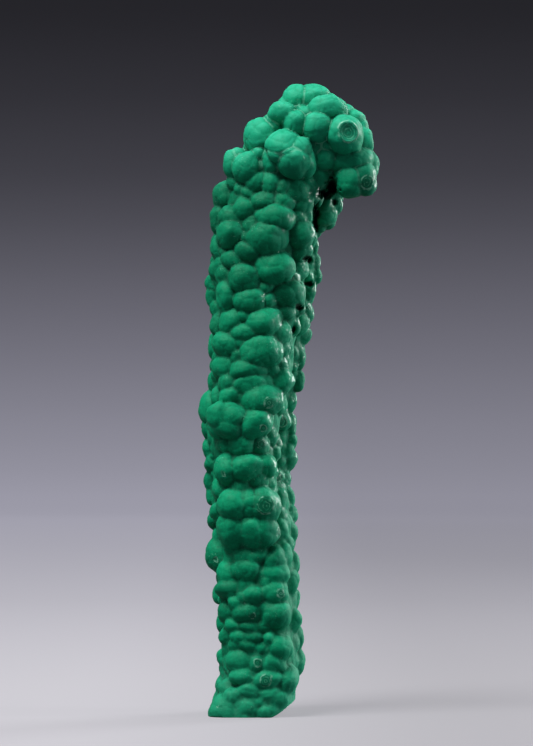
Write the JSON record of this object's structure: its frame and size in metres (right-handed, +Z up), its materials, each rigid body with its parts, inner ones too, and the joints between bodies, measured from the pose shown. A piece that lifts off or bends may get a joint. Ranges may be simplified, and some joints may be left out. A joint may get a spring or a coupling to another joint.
{
  "type": "malachite specimen",
  "caption": "Knobbly stalactitic column of green botryoidal malachite with a hooked crown, standing on its flat broken foot.",
  "frame": {"origin": "middle of the flat broken foot that the column stands on", "axes": "+Z up the column, +X towards the side that the crown hooks over, -Y out of the column's face"},
  "size_m": [0.0442, 0.0295, 0.15],
  "materials": {
    "malachite": "silky, matte to satin, as grown"
  },
  "bodies": {
    "root": {"malachite_stalactite": "malachite"}
  },
  "joints": []
}
